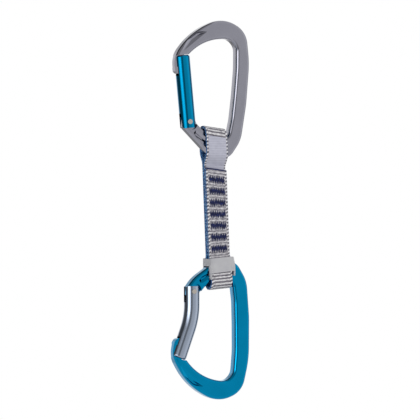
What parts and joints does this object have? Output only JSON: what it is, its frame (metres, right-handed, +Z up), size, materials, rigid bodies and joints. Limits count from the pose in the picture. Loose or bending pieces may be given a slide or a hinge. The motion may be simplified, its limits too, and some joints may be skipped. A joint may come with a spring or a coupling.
{
  "type": "climbing quickdraw",
  "caption": "Climbing quickdraw: straight-gate and bent-gate forged carabiners joined by a short bar-tacked webbing sling with a rubber keeper.",
  "frame": {"origin": "inner top of the upper carabiner's rope basket, where the draw bears on its anchor; Y = 0 is the middle plane of the draw", "axes": "+Z up along the hanging draw, +X towards the spines of both carabiners, -Y towards the side with the label"},
  "size_m": [0.0602, 0.0184, 0.2807],
  "materials": {
    "grey_anodised_aluminium": "satin anodised",
    "blue_anodised_aluminium": "satin anodised",
    "stainless_steel": "turned",
    "nylon_webbing": "woven",
    "woven_label_tape": "fine woven",
    "polyester_thread": "stitched",
    "moulded_rubber": "satin moulded"
  },
  "bodies": {
    "upper_frame": {"upper_body": "grey_anodised_aluminium"},
    "upper_gate_set": {"upper_gate": "blue_anodised_aluminium", "upper_rivet": "stainless_steel", "upper_spring": "stainless_steel"},
    "upper_rod": {"upper_push_rod": "stainless_steel"},
    "sling": {"sling_strap": "nylon_webbing", "sling_label": "woven_label_tape", "keeper": "moulded_rubber", "bar_tack_1": "polyester_thread", "bar_tack_2": "polyester_thread", "bar_tack_3": "polyester_thread", "bar_tack_4": "polyester_thread", "bar_tack_5": "polyester_thread", "bar_tack_6": "polyester_thread", "bar_tack_7": "polyester_thread"},
    "lower_frame": {"lower_body": "blue_anodised_aluminium"},
    "lower_gate_set": {"lower_gate": "grey_anodised_aluminium", "lower_rivet": "stainless_steel", "lower_spring": "stainless_steel"},
    "lower_rod": {"lower_push_rod": "stainless_steel"}
  },
  "joints": [
    {"name": "upper_gate_hinge", "type": "hinge", "parent": "upper_frame", "child": "upper_gate_set", "pos_m": [-0.0264, 0, -0.06191], "axis": [0, 1, 0], "range_deg": [0, 27], "stiffness_Nm_per_rad": 0.2, "springref_deg": -34.38, "deforming": ["upper_spring"]},
    {"name": "upper_rod_slide", "type": "slide", "parent": "upper_gate_set", "child": "upper_rod", "axis": [-0.0943, 0, 0.9955], "range_m": [0, 0.0008]},
    {"name": "sling_swing", "type": "hinge", "parent": "upper_frame", "child": "sling", "pos_m": [-0.006, 0, -0.0804], "axis": [1, 0, 0], "range_deg": [-5, 5]},
    {"name": "lower_swing", "type": "hinge", "parent": "sling", "child": "lower_frame", "pos_m": [-0.002, 0, -0.173], "axis": [1, 0, 0], "range_deg": [-3, 3]},
    {"name": "lower_gate_hinge", "type": "hinge", "parent": "lower_frame", "child": "lower_gate_set", "pos_m": [-0.02315, 0, -0.1874], "axis": [0, -1, 0], "range_deg": [0, 27], "stiffness_Nm_per_rad": 0.2, "springref_deg": -34.38, "deforming": ["lower_spring"]},
    {"name": "lower_rod_slide", "type": "slide", "parent": "lower_gate_set", "child": "lower_rod", "axis": [0, 0, -1], "range_m": [0, 0.0011]}
  ],
  "couplings": [
    {"joint": "upper_rod_slide", "follows": "upper_gate_hinge", "m_per_rad": 0.0016},
    {"joint": "lower_rod_slide", "follows": "lower_gate_hinge", "m_per_rad": 0.0022}
  ]
}
